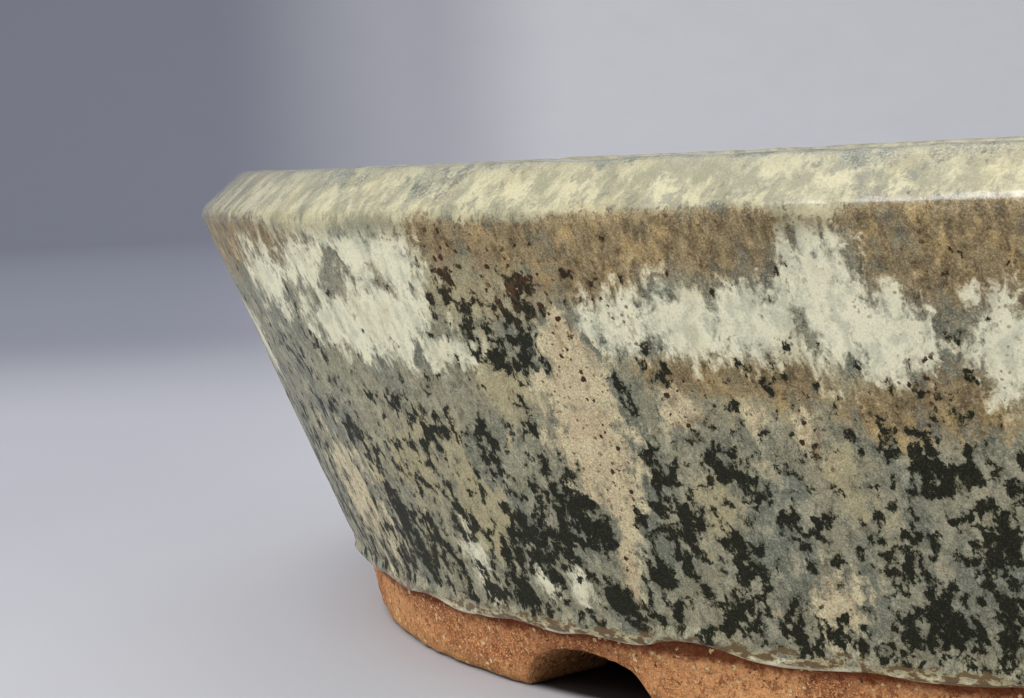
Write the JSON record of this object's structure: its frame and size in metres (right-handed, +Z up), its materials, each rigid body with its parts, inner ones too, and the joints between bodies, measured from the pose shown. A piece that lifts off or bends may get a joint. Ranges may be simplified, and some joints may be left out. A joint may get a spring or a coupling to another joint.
{
  "type": "bonsai pot",
  "caption": "Low oval bonsai pot: flared wall in mottled glaze, bevelled cream lip, floor with drain and tie-wire holes, bare clay foot ring with arched notches.",
  "frame": {"origin": "middle of the footprint, on the surface that the pot stands on", "axes": "+Z up, +X along the oval's long axis, front long side at -Y"},
  "size_m": [0.2674, 0.2054, 0.0547],
  "materials": {
    "foot_clay": "matte",
    "floor_clay": "matte",
    "wall_clay": "matte",
    "lip_clay": "matte",
    "wall_glaze": "satin",
    "rim_glaze": "gloss",
    "inner_glaze": "gloss",
    "bead_glaze": "gloss"
  },
  "bodies": {
    "root": {"foot_ring": "foot_clay", "floor_slab": "floor_clay", "wall_band": "wall_clay", "rim_lip": "lip_clay", "wall_glaze": "wall_glaze", "rim_glaze": "rim_glaze", "inner_glaze": "inner_glaze", "glaze_bead": "bead_glaze"}
  },
  "joints": []
}
